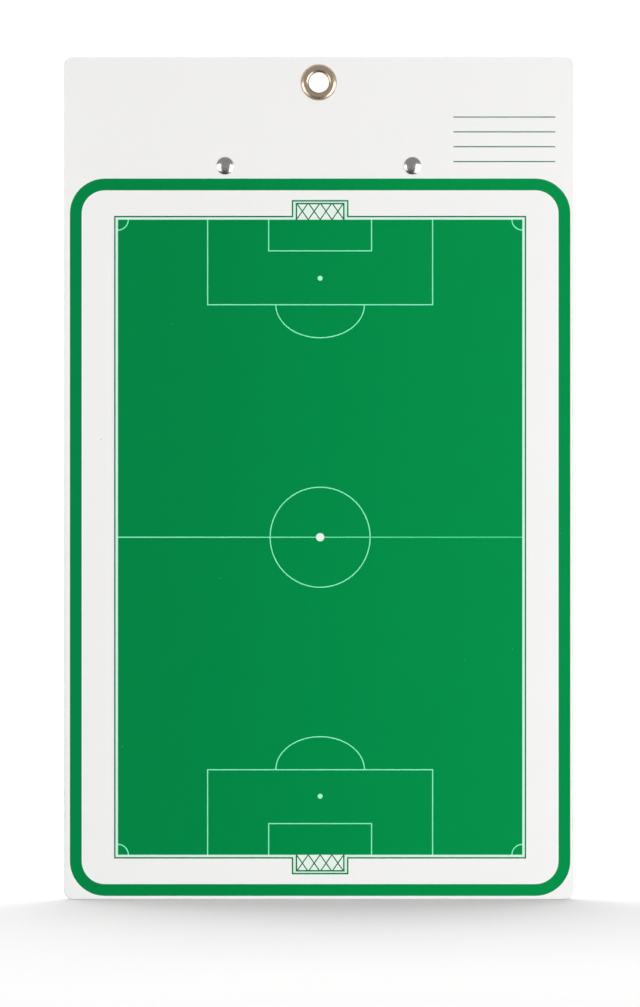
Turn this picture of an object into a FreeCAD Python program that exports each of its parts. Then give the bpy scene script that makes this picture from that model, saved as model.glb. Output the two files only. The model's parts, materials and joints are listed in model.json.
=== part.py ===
import FreeCAD
import Part
import Sketcher

import math
import os
from types import SimpleNamespace

# Two-sided dry-wipe coaching board with a sprung paper clip on its back.
# +X is right, +Z is up and the full pitch faces -Y. The origin is the middle of the hanging hole.
# All lengths are millimetres and all angles are degrees.

SIZES = {
    # White plastic panel
    "board_width": 240.0,
    "board_height": 397.4,
    "board_thickness": 3.0,
    "board_corner": 4.0,
    "board_edge_round": 0.4,
    # Hanging eyelet and the washer under its rolled end
    "eyelet_from_top": 12.2,
    "eyelet_bore_radius": 4.75,
    "eyelet_flange_radius": 8.5,
    "eyelet_flange_height": 2.0,
    "eyelet_rim_height": 0.2,
    "eyelet_throat_radius": 1.5,
    "eyelet_sheet": 0.4,
    "eyelet_curl_radius": 1.2,
    "washer_radius": 8.5,
    "washer_thickness": 0.5,
    "washer_edge_round": 0.2,
    "hole_clearance": 0.1,
    # Dome rivets that hold the clip
    "rivet_spacing": 88.4,
    "rivet_from_top": 51.5,
    "rivet_head_radius": 4.1,
    "rivet_head_height": 2.1,
    "rivet_head_rim": 0.4,
    "rivet_shank_radius": 2.0,
    "rivet_tail_radius": 3.2,
    "rivet_bore_radius": 1.4,
    "rivet_bore_depth": 2.6,
    # Printed border and field
    "ink_thickness": 0.1,
    "print_shift": 0.6,
    "border_side_margin": 2.0,
    "border_from_top": 57.5,
    "border_bottom_margin": 1.6,
    "border_stroke": 5.55,
    "border_corner": 16.5,
    "field_side_inset": 22.65,
    "field_end_inset": 19.4,
    "keyline_gap": 1.15,
    "keyline_width": 0.65,
    # Pitch markings, left open in the ink
    "line_width": 0.5,
    "penalty_width": 106.1,
    "penalty_depth": 40.1,
    "goal_area_width": 48.5,
    "goal_area_depth": 14.7,
    "penalty_spot_distance": 27.6,
    "penalty_spot_radius": 1.2,
    "arc_half_width": 20.9,
    "arc_depth": 15.6,
    "centre_circle_radius": 23.6,
    "centre_spot_radius": 2.0,
    "corner_arc_radius": 4.9,
    # Goals
    "goal_surround_width": 26.7,
    "goal_surround_depth": 9.2,
    "net_width": 23.0,
    "net_depth": 7.9,
    "net_line": 0.65,
    # Ruled note lines
    "note_from_top": 28.5,
    "note_right_margin": 8.5,
    "note_rivet_gap": 15.2,
    "note_line": 0.5,
    "note_pitch": 7.0,
    # Half pitch on the back, with its markings drawn larger
    "rear_border_from_top": 93.0,
    "rear_marking_scale": 1.3,
    # Clip base plate and pivot
    "pivot_height": 8.0,
    "pivot_drop": 7.0,
    "base_sheet": 1.0,
    "base_above_rivets": 7.0,
    "base_below_pivot": 7.0,
    "base_beyond_rivets": 9.0,
    "base_corner": 5.0,
    "base_edge_round": 0.3,
    "base_ear_radius": 4.0,
    "base_bend_round": 0.8,
    "ear_window_length": 6.0,
    "side_clearance": 0.3,
    "rod_radius": 1.6,
    "rod_clearance": 0.05,
    "rod_head_radius": 2.6,
    "rod_head_height": 1.0,
    # Clip jaw and lever, one pressing
    "jaw_sheet": 1.0,
    "jaw_width": 120.0,
    "lever_width": 55.0,
    "crown_rise": 5.5,
    "lip_gap": 0.3,
    "lip_reach": 24.5,
    "lip_radius": 2.2,
    "lip_flare": 3.0,
    "flare_angle": 35.0,
    "wall_angle": 15.0,
    "shoulder_radius": 4.0,
    "lever_bend_reach": 10.5,
    "lever_bend_radius": 12.0,
    "lever_angle": 18.0,
    "lever_length": 21.0,
    "curl_radius": 1.0,
    "curl_tail": 1.5,
    "wing_reach": 12.5,
    "wing_corner": 5.0,
    "wing_shoulder": 6.0,
    "lip_corner": 3.0,
    "lever_corner": 9.0,
    "jaw_edge_round": 0.5,
    "jaw_ear_radius": 4.5,
    "flange_depth": 3.0,
    "flange_length": 10.0,
    # Torsion springs
    "spring_wire_radius": 0.6,
    "spring_radius": 2.6,
    "spring_pitch": 1.7,
    "spring_base_leg": 12.0,
    "spring_lever_leg": 8.5,
    "spring_seat_gap": 0.1,
    "spring_end_gap": 1.2,
    # Room that cutting shapes reach past what they cut
    "cut_margin": 1.0,
}

NET_CELLS = 4
NOTE_LINES = 4
SPRING_FULL_TURNS = 3


class Size:
    """A number with the sheet expression that it comes from, so that one formula gives both."""

    def __init__(self, value, text):
        self.value = value
        self.text = text

    @staticmethod
    def of(item):
        if isinstance(item, Size):
            return item
        return Size(float(item), f"({item:g})")

    def join(self, sign, other, value):
        return Size(value, f"({self.text} {sign} {other.text})")

    def __add__(self, other):
        other = Size.of(other)
        return self.join("+", other, self.value + other.value)

    def __sub__(self, other):
        other = Size.of(other)
        return self.join("-", other, self.value - other.value)

    def __mul__(self, other):
        other = Size.of(other)
        return self.join("*", other, self.value * other.value)

    def __truediv__(self, other):
        other = Size.of(other)
        return self.join("/", other, self.value / other.value)

    def __radd__(self, other):
        return Size.of(other) + self

    def __rsub__(self, other):
        return Size.of(other) - self

    def __rmul__(self, other):
        return Size.of(other) * self

    def __neg__(self):
        return Size.of(-1) * self


def sine(angle):
    return Size(math.sin(math.radians(angle.value)), f"sin({angle.text})")


def cosine(angle):
    return Size(math.cos(math.radians(angle.value)), f"cos({angle.text})")


def tangent(angle):
    return Size(math.tan(math.radians(angle.value)), f"tan({angle.text})")


doc = FreeCAD.newDocument("tactics_board")
sheet = doc.addObject("Spreadsheet::Sheet", "Sizes")
for row, (name, number) in enumerate(SIZES.items(), start=1):
    sheet.set(f"A{row}", name)
    sheet.set(f"B{row}", str(number))
    sheet.setAlias(f"B{row}", name)
doc.recompute()
S = SimpleNamespace(**{name: Size(float(sheet.get(name)), f"Sizes.{name}") for name in SIZES})

pieces = []


# Binding sizes

def bind(item, **sizes):
    """Gives each property its size and ties it to the sheet."""
    for name, size in sizes.items():
        size = Size.of(size)
        setattr(item, name, size.value)
        item.setExpression(name, size.text)


def place(item, x, y, z, rotation=FreeCAD.Rotation()):
    """Puts an item's own origin at x, y, z and ties that place to the sheet."""
    spot = [Size.of(x), Size.of(y), Size.of(z)]
    item.Placement = FreeCAD.Placement(FreeCAD.Vector(*[size.value for size in spot]), rotation)
    for axis, size in zip("xyz", spot):
        item.setExpression(f"Placement.Base.{axis}", size.text)


def keep(item, label):
    """Marks a finished sub-part: its label names its file."""
    item.Label = label
    pieces.append(item)
    return item


# Sketching

def corner(x, y, centre=None, turn=1):
    """An outline's corner. With a centre, the edge that leaves it is an arc: turn 1 is anticlockwise."""
    return SimpleNamespace(x=Size.of(x), y=Size.of(y), centre=centre, turn=turn)


def flat_point(x, y):
    return FreeCAD.Vector(Size.of(x).value, Size.of(y).value, 0)


def hold(sketch, held):
    """Adds coordinate constraints, each tied to its size."""
    first = sketch.ConstraintCount
    sketch.addConstraint([Sketcher.Constraint(kind, edge, end, size.value) for kind, edge, end, size in held])
    for index, (kind, edge, end, size) in enumerate(held, start=first):
        sketch.setExpression(f"Constraints[{index}]", size.text)


def draw(sketch, corners):
    """Draws one closed outline of lines and arcs, every corner held by its two coordinates."""
    first = sketch.GeometryCount
    count = len(corners)
    held = []
    ends = []
    for index, here in enumerate(corners):
        there = corners[(index + 1) % count]
        start = flat_point(here.x, here.y)
        finish = flat_point(there.x, there.y)
        entry, leave = (1, 2)
        if here.centre is None:
            sketch.addGeometry(Part.LineSegment(start, finish))
        else:
            middle = flat_point(*here.centre)
            angles = [math.atan2(*reversed((end - middle)[:2])) for end in (start, finish)]
            if here.turn < 0:
                angles.reverse()
                entry, leave = (2, 1)
            if angles[1] < angles[0]:
                angles[1] += 2 * math.pi
            circle = Part.Circle(middle, FreeCAD.Vector(0, 0, 1), (start - middle).Length)
            sketch.addGeometry(Part.ArcOfCircle(circle, *angles))
            chord = finish - start
            if abs(chord.x) >= abs(chord.y):
                held.append(("DistanceY", first + index, 3, Size.of(here.centre[1])))
            else:
                held.append(("DistanceX", first + index, 3, Size.of(here.centre[0])))
        held.append(("DistanceX", first + index, entry, here.x))
        held.append(("DistanceY", first + index, entry, here.y))
        ends.append((entry, leave))
    for index in range(count):
        after = (index + 1) % count
        sketch.addConstraint(Sketcher.Constraint(
            "Coincident", first + index, ends[index][1], first + after, ends[after][0]))
    hold(sketch, held)


def draw_circle(sketch, x, y, radius):
    """Draws a circle held by its middle and its radius."""
    edge = sketch.addGeometry(Part.Circle(flat_point(x, y), FreeCAD.Vector(0, 0, 1), radius.value))
    hold(sketch, [("DistanceX", edge, 3, Size.of(x)), ("DistanceY", edge, 3, Size.of(y))])
    index = sketch.addConstraint(Sketcher.Constraint("Radius", edge, radius.value))
    sketch.setExpression(f"Constraints[{index}]", radius.text)


def rounded_rectangle(left, right, bottom, top, radius):
    """Corners of a rectangle with four equal round corners, anticlockwise."""
    return [
        corner(left + radius, bottom),
        corner(right - radius, bottom, (right - radius, bottom + radius)),
        corner(right, bottom + radius),
        corner(right, top - radius, (right - radius, top - radius)),
        corner(right - radius, top),
        corner(left + radius, top, (left + radius, top - radius)),
        corner(left, top - radius),
        corner(left, bottom + radius, (left + radius, bottom + radius)),
    ]


def rectangle(left, right, bottom, top):
    """Corners of a plain rectangle, anticlockwise."""
    return [corner(left, bottom), corner(right, bottom), corner(right, top), corner(left, top)]


def bent_strip(path, thickness):
    """Corners of a bent strip: the path, then the path set off by the thickness, back again.

    Each path entry is a corner and the unit direction in which the metal lies from it.
    """
    near = [entry for entry, side in path]
    far = []
    for index in reversed(range(len(path))):
        entry, side = path[index]
        before = path[index - 1][0] if index else None
        centre = before.centre if before else None
        turn = -before.turn if before else 1
        far.append(corner(entry.x + thickness * side[0], entry.y + thickness * side[1], centre, turn))
    return near + far


# Solid features

def new_body(label, x=0, y=0, z=0):
    body = doc.addObject("PartDesign::Body", label)
    place(body, x, y, z)
    return keep(body, label)


def origin_plane(body, role):
    return next(item for item in body.Origin.OriginFeatures if item.Role == role)


def new_sketch(body, role, lift=0):
    """A sketch on one of the body's origin planes, lifted along that plane's normal."""
    sketch = body.newObject("Sketcher::SketchObject", body.Name + "_sketch")
    sketch.AttachmentSupport = [(origin_plane(body, role), "")]
    sketch.MapMode = "FlatFace"
    lift = Size.of(lift)
    sketch.AttachmentOffset = FreeCAD.Placement(FreeCAD.Vector(0, 0, lift.value), FreeCAD.Rotation())
    sketch.setExpression("AttachmentOffset.Base.z", lift.text)
    return sketch


def pad(body, sketch, length, back=False, both=False):
    """Pads a sketch along its normal, against it, or half to each side."""
    feature = body.newObject("PartDesign::Pad", body.Name + "_pad")
    feature.Profile = sketch
    feature.Reversed = back
    feature.Midplane = both
    bind(feature, Length=length)
    return feature


def cut_through(body, sketch):
    """Cuts a sketch through the whole body to both sides and makes sure that something went."""
    doc.recompute()
    before = body.Shape.Volume
    feature = body.newObject("PartDesign::Pocket", body.Name + "_pocket")
    feature.Profile = sketch
    feature.Type = "ThroughAll"
    feature.Midplane = True
    doc.recompute()
    if not feature.Shape.Volume < before:
        raise RuntimeError(f"{body.Label}: a cut removed nothing")
    return feature


def revolve(body, sketch, axis):
    feature = body.newObject("PartDesign::Revolution", body.Name + "_revolution")
    feature.Profile = sketch
    feature.ReferenceAxis = (sketch, [axis])
    feature.Angle = 360
    return feature


def mirror(body, feature):
    """Repeats a feature on the other side of the body's middle plane."""
    twin = body.newObject("PartDesign::Mirrored", body.Name + "_mirrored")
    twin.Originals = [feature]
    twin.MirrorPlane = (origin_plane(body, "YZ_Plane"), [""])
    body.Tip = twin
    return twin


def round_edges(body, chosen, radius):
    """Rounds the edges of the body's last feature for which chosen(edge) is true."""
    doc.recompute()
    base = body.Tip
    names = [f"Edge{i}" for i, edge in enumerate(base.Shape.Edges, start=1) if chosen(edge)]
    feature = body.newObject("PartDesign::Fillet", body.Name + "_fillet")
    feature.Base = (base, names)
    bind(feature, Radius=radius)
    return feature


def near(number, size):
    return abs(number - Size.of(size).value) < 1e-4


# Shared places

board_top = S.eyelet_from_top
board_bottom = S.eyelet_from_top - S.board_height
back_face = S.board_thickness / 2
front_face = -back_face
rivet_z = S.eyelet_from_top - S.rivet_from_top
rivet_x = S.rivet_spacing / 2
pivot_z = rivet_z - S.pivot_drop
shank_hole_radius = S.rivet_shank_radius + S.hole_clearance
rod_hole_radius = S.rod_radius + S.rod_clearance
barrel_radius = S.eyelet_bore_radius + S.eyelet_sheet
lever_side = S.lever_width / 2
jaw_ear_inside = lever_side - S.jaw_sheet
base_ear_outside = jaw_ear_inside - S.side_clearance
base_ear_inside = base_ear_outside - S.base_sheet


def dome_radius(rim_radius, height):
    """Radius of the ball whose cap has this rim and height."""
    return (rim_radius * rim_radius + height * height) / (2 * height)


# Board panel

def make_board_panel():
    body = new_body("board_panel")
    outline = new_sketch(body, "XZ_Plane")
    half = S.board_width / 2
    draw(outline, rounded_rectangle(-half, half, board_bottom, board_top, S.board_corner))
    pad(body, outline, S.board_thickness, both=True)
    holes = new_sketch(body, "XZ_Plane")
    draw_circle(holes, 0, 0, barrel_radius + S.hole_clearance)
    for side in (-1, 1):
        draw_circle(holes, side * rivet_x, rivet_z, shank_hole_radius)
    cut_through(body, holes)

    def on_rim(edge):
        box = edge.BoundBox
        flat = near(box.YMin, box.YMax) and near(abs(box.YMin), back_face)
        inside = box.XMin > -half.value + S.board_corner.value and box.XMax < half.value - S.board_corner.value
        lengthwise = near(box.ZMin, box.ZMax)
        return flat and (lengthwise or not inside)

    round_edges(body, on_rim, S.board_edge_round)


# Eyelet and its washer, turned about Y

washer_face = back_face + S.washer_thickness


def make_hanging_eyelet():
    """A flange rolled out of the barrel on the front, and the barrel's end curled over the washer.

    The flange's throat is a quarter round up to its crest, and a wider arc falls from there to its rim.
    """
    body = new_body("hanging_eyelet")
    bore = S.eyelet_bore_radius
    rim = S.eyelet_flange_radius
    crest = front_face - S.eyelet_flange_height
    crest_radius = bore + S.eyelet_throat_radius
    bore_end = crest + S.eyelet_throat_radius
    fall = dome_radius(rim - crest_radius, S.eyelet_flange_height - S.eyelet_rim_height)
    curl_middle = bore + S.eyelet_curl_radius
    profile = new_sketch(body, "XY_Plane")
    draw(profile, [
        corner(rim, front_face),
        corner(rim, front_face - S.eyelet_rim_height, (crest_radius, crest + fall), -1),
        corner(crest_radius, crest, (crest_radius, bore_end), -1),
        corner(bore, bore_end),
        corner(bore, washer_face, (curl_middle, washer_face), -1),
        corner(curl_middle + S.eyelet_curl_radius, washer_face),
        corner(barrel_radius, washer_face),
        corner(barrel_radius, front_face),
    ])
    revolve(body, profile, "V_Axis")


def make_eyelet_washer():
    body = new_body("eyelet_washer")
    inside = barrel_radius + S.hole_clearance
    rim = S.washer_radius
    edge = S.washer_edge_round
    profile = new_sketch(body, "XY_Plane")
    draw(profile, [
        corner(inside, back_face),
        corner(rim, back_face),
        corner(rim, washer_face - edge, (rim - edge, washer_face - edge)),
        corner(rim - edge, washer_face),
        corner(inside, washer_face),
    ])
    revolve(body, profile, "V_Axis")


# Rivets

def make_clip_rivet(label, x):
    """Domed head on the front, shank through board and plate, hollow end rolled over the plate."""
    body = new_body(label, x, 0, rivet_z)
    head = S.rivet_head_radius
    rim = front_face - S.rivet_head_rim
    dome_height = S.rivet_head_height - S.rivet_head_rim
    apex = front_face - S.rivet_head_height
    plate_face = back_face + S.base_sheet
    bore = S.rivet_bore_radius
    profile = new_sketch(body, "XY_Plane")
    draw(profile, [
        corner(0, apex, (0, apex + dome_radius(head, dome_height))),
        corner(head, rim),
        corner(head, front_face),
        corner(S.rivet_shank_radius, front_face),
        corner(S.rivet_shank_radius, plate_face),
        corner(S.rivet_tail_radius, plate_face, ((S.rivet_tail_radius + bore) / 2, plate_face)),
        corner(bore, plate_face),
        corner(bore, plate_face - S.rivet_bore_depth),
        corner(0, plate_face - S.rivet_bore_depth),
    ])
    revolve(body, profile, "V_Axis")


# Printed ink

def print_side(name, start):
    """One printed face of the board: where its ink starts along Y."""
    return SimpleNamespace(name=name, start=start)


FRONT = print_side("front", front_face - S.ink_thickness)
REAR = print_side("rear", back_face)


def ink_span(side, cutter):
    """Start and thickness along Y of an ink film, or of a shape that cuts through it."""
    if cutter:
        return side.start - S.cut_margin, S.ink_thickness + 2 * S.cut_margin
    return side.start, S.ink_thickness


def block(side, x, z, width, height, cutter=False):
    """A rectangle of ink with its middle at x, z."""
    start, thickness = ink_span(side, cutter)
    item = doc.addObject("Part::Box", side.name + "_block")
    bind(item, Length=width, Width=thickness, Height=height)
    place(item, x - width / 2, start, z - height / 2)
    return item


def disc_cutter(side, x, z, radius):
    start, thickness = ink_span(side, True)
    item = doc.addObject("Part::Cylinder", side.name + "_disc")
    bind(item, Radius=radius, Height=thickness)
    place(item, x, start, z, FreeCAD.Rotation(FreeCAD.Vector(1, 0, 0), -90))
    return item


def oval_cutter(side, x, z, half_width, half_height):
    start, thickness = ink_span(side, True)
    oval = doc.addObject("Part::Ellipse", side.name + "_oval")
    bind(oval, MajorRadius=half_width, MinorRadius=half_height)
    place(oval, x, start, z, FreeCAD.Rotation(FreeCAD.Vector(1, 0, 0), 90))
    item = doc.addObject("Part::Extrusion", side.name + "_oval_solid")
    item.Base = oval
    item.DirMode = "Custom"
    item.Dir = FreeCAD.Vector(0, 1, 0)
    item.Solid = True
    bind(item, LengthFwd=thickness)
    return item


def cut(base, tool):
    item = doc.addObject("Part::Cut", base.Name + "_cut")
    item.Base = base
    item.Tool = tool
    item.Refine = True
    return item


def join(items):
    item = doc.addObject("Part::MultiFuse", items[0].Name + "_join")
    item.Shapes = items
    item.Refine = True
    return item


def overlap(first, second):
    item = doc.addObject("Part::Common", first.Name + "_overlap")
    item.Base = first
    item.Tool = second
    item.Refine = True
    return item


def ring_cutter(side, x, z, radius):
    half = S.line_width / 2
    return cut(disc_cutter(side, x, z, radius + half), disc_cutter(side, x, z, radius - half))


border_half_width = S.board_width / 2 - S.border_side_margin


def field_of(border_top):
    """Middle and size of the printed field inside a border that starts at border_top."""
    border_bottom = board_bottom + S.border_bottom_margin
    top = border_top - S.field_end_inset
    bottom = border_bottom + S.field_end_inset
    width = 2 * (border_half_width - S.field_side_inset)
    return SimpleNamespace(
        x=S.print_shift, z=(top + bottom) / 2, width=width, height=top - bottom, top=top, bottom=bottom)


def area_cutters(side, field, goal_line, end, width, depth):
    """The three lines of a box on the goal line. The field lies at -end from that line."""
    line = S.line_width
    legs = [
        block(side, field.x + flank * width / 2, goal_line - end * depth / 2, line, depth + line, True)
        for flank in (-1, 1)
    ]
    return legs + [block(side, field.x, goal_line - end * depth, width + line, line, True)]


def goal_end_cutters(side, field, goal_line, end, scale):
    """Everything drawn at one end: both boxes, the spot, the arc and the two corner arcs."""
    cutters = area_cutters(side, field, goal_line, end, scale * S.penalty_width, scale * S.penalty_depth)
    cutters += area_cutters(side, field, goal_line, end, scale * S.goal_area_width, scale * S.goal_area_depth)
    spot_z = goal_line - end * scale * S.penalty_spot_distance
    cutters.append(disc_cutter(side, field.x, spot_z, scale * S.penalty_spot_radius))
    half_line = S.line_width / 2
    arc_z = goal_line - end * scale * S.penalty_depth
    wide = scale * S.arc_half_width
    deep = scale * S.arc_depth
    oval = cut(
        oval_cutter(side, field.x, arc_z, wide + half_line, deep + half_line),
        oval_cutter(side, field.x, arc_z, wide - half_line, deep - half_line))
    outer_half = block(side, field.x, arc_z - end * deep, 2 * wide + 4 * half_line, 2 * deep, True)
    cutters.append(overlap(oval, outer_half))
    for flank in (-1, 1):
        corner_x = field.x + flank * field.width / 2
        cutters.append(ring_cutter(side, corner_x, goal_line, scale * S.corner_arc_radius))
    return cutters


def make_pitch_print(label, side, field, cutters):
    ink = block(side, field.x, field.z, field.width, field.height)
    keep(cut(ink, join(cutters)), label)


def make_touchline_print(label, side, field, goals, scale):
    """A keyline round the field that steps out round each goal. Goals are pairs of goal line and end."""

    def grown(by):
        shapes = [block(side, field.x, field.z, field.width + 2 * by, field.height + 2 * by, by is not outer)]
        for goal_line, end in goals:
            width = scale * S.goal_surround_width - 2 * (outer - by)
            depth = scale * S.goal_surround_depth - (outer - by)
            shapes.append(block(side, field.x, goal_line + end * depth / 2, width, depth, by is not outer))
        return join(shapes)

    outer = S.keyline_gap + S.keyline_width
    inner = S.keyline_gap
    keep(cut(grown(outer), grown(inner)), label)


def lattice(side, field, goal_line, end, width, depth, lean):
    """The net's slanted lines of one lean, one for each cell, as upright-ended slanted bars."""
    start, thickness = ink_span(side, False)
    span = width - S.net_line
    cell = span / NET_CELLS
    half_line = S.net_line / 2
    sketch = doc.addObject("Sketcher::SketchObject", side.name + "_lattice")
    place(sketch, field.x, start, goal_line, FreeCAD.Rotation(FreeCAD.Vector(1, 0, 0), 90))
    for index in range(NET_CELLS):
        middle = (index + 0.5) * cell - span / 2
        near_x = middle - lean * cell / 2
        far_x = middle + lean * cell / 2
        draw(sketch, [
            corner(near_x - half_line, 0),
            corner(near_x + half_line, 0),
            corner(far_x + half_line, end * depth),
            corner(far_x - half_line, end * depth),
        ])
    item = doc.addObject("Part::Extrusion", side.name + "_lattice_bars")
    item.Base = sketch
    item.DirMode = "Custom"
    item.Dir = FreeCAD.Vector(0, 1, 0)
    item.Solid = True
    bind(item, LengthFwd=thickness)
    return item


def goal_net(side, field, goal_line, end, scale):
    """One goal: two posts, the far bar and a row of crossed lines between them."""
    width = scale * S.net_width
    depth = scale * S.net_depth
    line = S.net_line
    bars = [
        block(side, field.x + flank * (width - line) / 2, goal_line + end * depth / 2, line, depth)
        for flank in (-1, 1)
    ]
    bars.append(block(side, field.x, goal_line + end * (depth - line / 2), width, line))
    bars += [lattice(side, field, goal_line, end, width, depth, lean) for lean in (-1, 1)]
    return bars


def make_border_print(label, side, border_top, back):
    """A ring of ink with round corners, padded away from its face of the board."""
    body = new_body(label)
    outline = new_sketch(body, "XZ_Plane", front_face if back else back_face)
    half = border_half_width
    inner = half - S.border_stroke
    bottom = board_bottom + S.border_bottom_margin
    draw(outline, rounded_rectangle(
        S.print_shift - half, S.print_shift + half, bottom, border_top, S.border_corner))
    draw(outline, rounded_rectangle(
        S.print_shift - inner, S.print_shift + inner, bottom + S.border_stroke, border_top - S.border_stroke,
        S.border_corner - S.border_stroke))
    pad(body, outline, S.ink_thickness, back=back)


def make_front_prints():
    border_top = board_top - S.border_from_top
    field = field_of(border_top)
    goals = [(field.top, 1), (field.bottom, -1)]
    no_scale = Size.of(1)
    make_border_print("front_border_print", FRONT, border_top, back=False)
    cutters = [
        block(FRONT, field.x, field.z, field.width + 2 * S.line_width, S.line_width, True),
        ring_cutter(FRONT, field.x, field.z, S.centre_circle_radius),
        disc_cutter(FRONT, field.x, field.z, S.centre_spot_radius),
    ]
    for goal_line, end in goals:
        cutters += goal_end_cutters(FRONT, field, goal_line, end, no_scale)
    make_pitch_print("front_pitch_print", FRONT, field, cutters)
    make_touchline_print("front_touchline_print", FRONT, field, goals, no_scale)
    for name, (goal_line, end) in zip(("top", "bottom"), goals):
        keep(join(goal_net(FRONT, field, goal_line, end, no_scale)), f"front_{name}_goal_net_print")


def make_note_lines_print():
    """Ruled lines to write on, in the corner above the border."""
    left = rivet_x + S.rivet_head_radius + S.note_rivet_gap
    right = S.board_width / 2 - S.note_right_margin
    x = (left + right) / 2
    lines = [
        block(FRONT, x, board_top - S.note_from_top - index * S.note_pitch, right - left, S.note_line)
        for index in range(NOTE_LINES)
    ]
    keep(join(lines), "front_note_lines_print")


def make_rear_prints():
    """Half a pitch, with its goal at the top and its halfway line along the bottom."""
    border_top = board_top - S.rear_border_from_top
    field = field_of(border_top)
    goals = [(field.top, 1)]
    scale = S.rear_marking_scale
    make_border_print("rear_border_print", REAR, border_top, back=True)
    cutters = [
        ring_cutter(REAR, field.x, field.bottom, scale * S.centre_circle_radius),
        disc_cutter(REAR, field.x, field.bottom, scale * S.centre_spot_radius),
    ]
    cutters += goal_end_cutters(REAR, field, field.top, 1, scale)
    make_pitch_print("rear_half_pitch_print", REAR, field, cutters)
    make_touchline_print("rear_touchline_print", REAR, field, goals, scale)
    keep(join(goal_net(REAR, field, field.top, 1, scale)), "rear_goal_net_print")


# Clip. Its bodies stand on the back face below the pivot, so Y is height and Z is upwards from the pivot.

def make_clip_base_plate():
    """A flat plate riveted to the board, with two ears lanced out of it and bent up to hold the rod."""
    body = new_body("clip_base_plate", 0, back_face, pivot_z)
    half = rivet_x + S.base_beyond_rivets
    ear = S.base_ear_radius
    outline = new_sketch(body, "XZ_Plane")
    draw(outline, rounded_rectangle(
        -half, half, -S.base_below_pivot, S.pivot_drop + S.base_above_rivets, S.base_corner))
    pad(body, outline, S.base_sheet, back=True)

    def on_upper_rim(edge):
        box = edge.BoundBox
        return near(box.YMin, S.base_sheet) and near(box.YMax, S.base_sheet)

    round_edges(body, on_upper_rim, S.base_edge_round)
    side_view = new_sketch(body, "YZ_Plane", base_ear_inside)
    draw(side_view, [
        corner(S.base_sheet / 2, -ear),
        corner(S.pivot_height, -ear, (S.pivot_height, 0)),
        corner(S.pivot_height, ear),
        corner(S.base_sheet / 2, ear),
    ])
    mirror(body, pad(body, side_view, S.base_sheet))

    def at_ear_root(edge):
        box = edge.BoundBox
        at_side = near(box.XMin, box.XMax) and near(abs(box.XMin), base_ear_inside)
        return at_side and near(box.YMin, S.base_sheet) and near(box.YMax, box.YMin)

    round_edges(body, at_ear_root, S.base_bend_round)
    rod_hole = new_sketch(body, "YZ_Plane")
    draw_circle(rod_hole, S.pivot_height, 0, rod_hole_radius)
    cut_through(body, rod_hole)
    openings = new_sketch(body, "XZ_Plane")
    for side in (-1, 1):
        draw_circle(openings, side * rivet_x, S.pivot_drop, shank_hole_radius)
    window_end = base_ear_outside + S.ear_window_length
    draw(openings, rectangle(base_ear_outside, window_end, -ear, ear))
    draw(openings, rectangle(-window_end, -base_ear_outside, -ear, ear))
    cut_through(body, openings)


crown_height = S.pivot_height + S.crown_rise


def jaw_points():
    """The bends of the jaw's underside, from the lip's tip to the lever's end, in height and upward reach."""
    flare = (sine(S.flare_angle), cosine(S.flare_angle))
    wall = (sine(S.wall_angle), cosine(S.wall_angle))
    lever = (sine(S.lever_angle), cosine(S.lever_angle))
    lip = (S.lip_gap + S.lip_radius, -S.lip_reach)
    lip_start = (lip[0] - S.lip_radius * flare[1], lip[1] - S.lip_radius * flare[0])
    tip = (lip_start[0] + S.lip_flare * flare[0], lip_start[1] - S.lip_flare * flare[1])
    lip_end = (lip[0] - S.lip_radius * wall[0], lip[1] + S.lip_radius * wall[1])
    shoulder_height = crown_height - S.shoulder_radius
    across = S.lip_radius + S.shoulder_radius + (shoulder_height - lip[0]) * wall[0]
    shoulder = (shoulder_height, lip[1] + across / wall[1])
    wall_end = (shoulder[0] + S.shoulder_radius * wall[0], shoulder[1] - S.shoulder_radius * wall[1])
    bend_z = S.lever_bend_reach - S.lever_bend_radius * tangent(S.lever_angle / 2)
    bend = (crown_height + S.lever_bend_radius, bend_z)
    bend_end = (bend[0] - S.lever_bend_radius * lever[1], bend_z + S.lever_bend_radius * lever[0])
    curl_start = (crown_height + S.lever_length * lever[0], S.lever_bend_reach + S.lever_length * lever[1])
    curl = (curl_start[0] - S.curl_radius * lever[1], curl_start[1] + S.curl_radius * lever[0])
    return SimpleNamespace(**locals())


def make_clip_jaw():
    """One pressing: lip, wall and crown across the paper, and a lever with flanged sides behind the pivot.

    The rounding on the crown's sides runs on round the whole outer rim of the pressing.
    """
    body = new_body("clip_jaw", 0, back_face, pivot_z)
    at = jaw_points()
    metal = S.jaw_sheet
    off_wall = (at.wall[0], -at.wall[1])
    off_lever = (at.lever[1], -at.lever[0])
    curl_top = at.curl[1] + S.curl_radius
    path = [
        (corner(*at.tip), (at.flare[1], at.flare[0])),
        (corner(*at.lip_start, at.lip, -1), (at.flare[1], at.flare[0])),
        (corner(*at.lip_end), off_wall),
        (corner(*at.wall_end, at.shoulder), off_wall),
        (corner(crown_height, at.shoulder[1]), (1, 0)),
        (corner(crown_height, at.bend_z, at.bend, -1), (1, 0)),
        (corner(*at.bend_end), off_lever),
        (corner(*at.curl_start, at.curl), off_lever),
        (corner(at.curl[0], curl_top), (0, 1)),
        (corner(at.curl[0] - S.curl_tail, curl_top), (0, 1)),
    ]
    section = new_sketch(body, "YZ_Plane")
    draw(section, bent_strip(path, metal))
    pad(body, section, S.jaw_width, both=True)
    trim_jaw_plan(body, at.tip[1] - S.cut_margin, curl_top + metal + S.cut_margin)
    add_jaw_ears(body, at)

    def on_crown_side(edge):
        box = edge.BoundBox
        at_side = near(box.XMin, box.XMax) and near(abs(box.XMin), lever_side)
        return at_side and near(box.YMin, crown_height + metal) and near(box.YMax, crown_height + metal)

    round_edges(body, on_crown_side, S.jaw_edge_round)


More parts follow.
